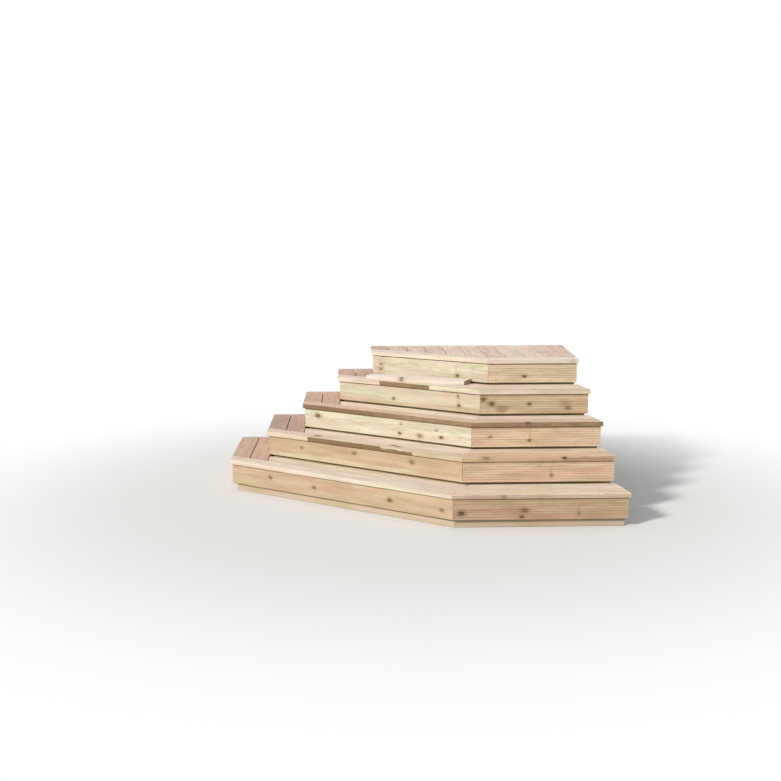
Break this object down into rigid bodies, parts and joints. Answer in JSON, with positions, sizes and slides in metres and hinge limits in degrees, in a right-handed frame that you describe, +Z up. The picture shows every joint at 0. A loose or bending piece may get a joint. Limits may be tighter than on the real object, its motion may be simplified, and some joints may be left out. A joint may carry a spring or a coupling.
{
  "type": "wooden corner deck stairs",
  "caption": "Wide corner stairs of softwood decking boards on stacked timber frames, with mitred treads round a diagonal edge, reeded front risers and a small platform on top.",
  "frame": {"origin": "centre of the footprint, on the ground under the sole plates", "axes": "+X to the right along the front, +Y from the front to the flat back, +Z up"},
  "size_m": [2.3462, 1.792, 0.848],
  "materials": {
    "nosing_boards": "planed softwood, dry and matt",
    "tread_boards": "planed softwood, dry and matt",
    "smooth_risers": "planed softwood with knots, pale",
    "reeded_risers": "reeded softwood, matt",
    "frame_timber": "pressure treated sawn softwood",
    "sole_timber": "pressure treated sawn softwood, weathered",
    "loose_board": "planed softwood offcut"
  },
  "bodies": {
    "root": {"tread_1_nosings": "nosing_boards", "tread_1_inner_boards": "tread_boards", "tread_1_side_boards": "tread_boards", "tread_2_nosings": "nosing_boards", "tread_2_inner_boards": "tread_boards", "tread_2_side_boards": "tread_boards", "tread_3_nosings": "nosing_boards", "tread_3_inner_boards": "tread_boards", "tread_3_side_boards": "tread_boards", "tread_4_nosings": "nosing_boards", "tread_4_inner_boards": "tread_boards", "tread_4_side_boards": "tread_boards", "platform_nosings": "nosing_boards", "platform_boards": "tread_boards", "riser_1_side": "smooth_risers", "riser_1_diagonal": "smooth_risers", "riser_1_front": "reeded_risers", "riser_2_side": "smooth_risers", "riser_2_diagonal": "smooth_risers", "riser_2_front": "reeded_risers", "riser_3_side": "smooth_risers", "riser_3_diagonal": "smooth_risers", "riser_3_front": "reeded_risers", "riser_4_side": "smooth_risers", "riser_4_diagonal": "smooth_risers", "riser_4_front": "reeded_risers", "riser_5_side": "smooth_risers", "riser_5_diagonal": "smooth_risers", "riser_5_front": "reeded_risers", "frame_1_rims": "frame_timber", "frame_1_joists": "frame_timber", "frame_2_rims": "frame_timber", "frame_2_joists": "frame_timber", "frame_3_rims": "frame_timber", "frame_3_joists": "frame_timber", "frame_4_rims": "frame_timber", "frame_4_joists": "frame_timber", "frame_5_rims": "frame_timber", "frame_5_joists": "frame_timber", "sole_plates_outer": "sole_timber", "sole_plate_back": "sole_timber", "loose_board": "loose_board"}
  },
  "joints": []
}
